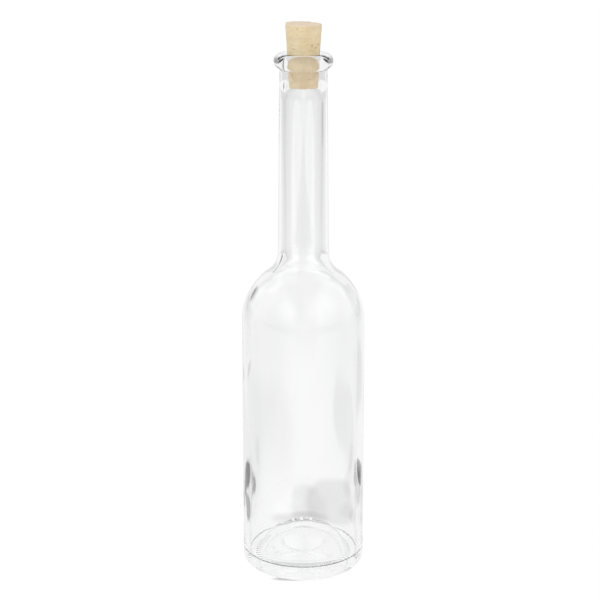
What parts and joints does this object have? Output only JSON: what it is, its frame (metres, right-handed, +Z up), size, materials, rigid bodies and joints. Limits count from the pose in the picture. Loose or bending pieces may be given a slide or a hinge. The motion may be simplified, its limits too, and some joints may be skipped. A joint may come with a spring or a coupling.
{
  "type": "glass bottle with cork stopper",
  "caption": "Small empty clear glass bottle with a straight body, round shoulder, long slim neck and beaded lip, closed by a tapered cork.",
  "frame": {"origin": "centre of the bearing ring that the bottle stands on", "axes": "+Z up along the bottle's axis, towards the cork"},
  "size_m": [0.0405, 0.0404, 0.1822],
  "materials": {
    "clear_glass": "smooth clear moulded glass, slightly wavy inside",
    "natural_cork": "dry natural cork with fine pores and short cracks"
  },
  "bodies": {
    "root": {"bottle": "clear_glass", "cork": "natural_cork"}
  },
  "joints": []
}
